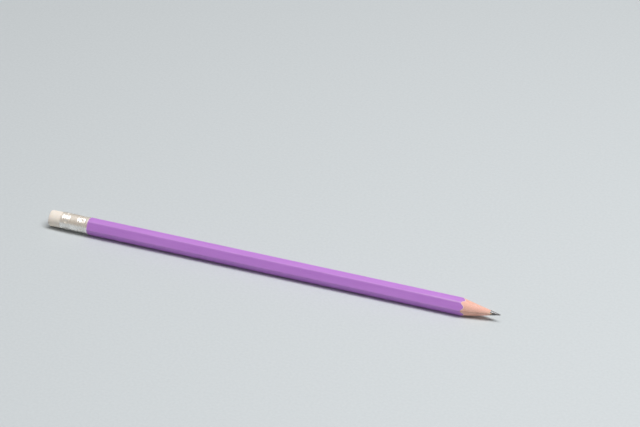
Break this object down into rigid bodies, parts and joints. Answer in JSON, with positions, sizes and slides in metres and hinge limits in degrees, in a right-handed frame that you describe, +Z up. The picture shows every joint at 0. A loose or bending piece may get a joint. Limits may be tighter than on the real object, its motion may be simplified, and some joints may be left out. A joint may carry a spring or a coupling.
{
  "type": "hexagonal pencil with eraser",
  "caption": "Sharpened hexagonal graphite pencil in purple lacquer, with a ringed and dimpled aluminium ferrule and a white eraser plug, lying on a flat.",
  "frame": {"origin": "middle of the pencil's bounding box, at the level of the surface that it lies on", "axes": "+X along the pencil, towards its point; +Z up, away from the flat that it lies on; +Y across"},
  "size_m": [0.19, 0.007, 0.0069],
  "materials": {
    "eraser": "matte, slightly smudged off-white vinyl eraser",
    "ferrule": "bright rolled aluminium with rings and crimp dimples",
    "lacquer": "satin-gloss purple lacquer with faint lengthwise unevenness",
    "wood": "sharpened pinkish cedar-like wood with fine grain",
    "graphite": "burnished dark grey graphite and clay"
  },
  "bodies": {
    "root": {"eraser": "eraser", "ferrule": "ferrule", "lacquer_coat": "lacquer", "upper_slat": "wood", "lower_slat": "wood", "lead": "graphite"}
  },
  "joints": []
}
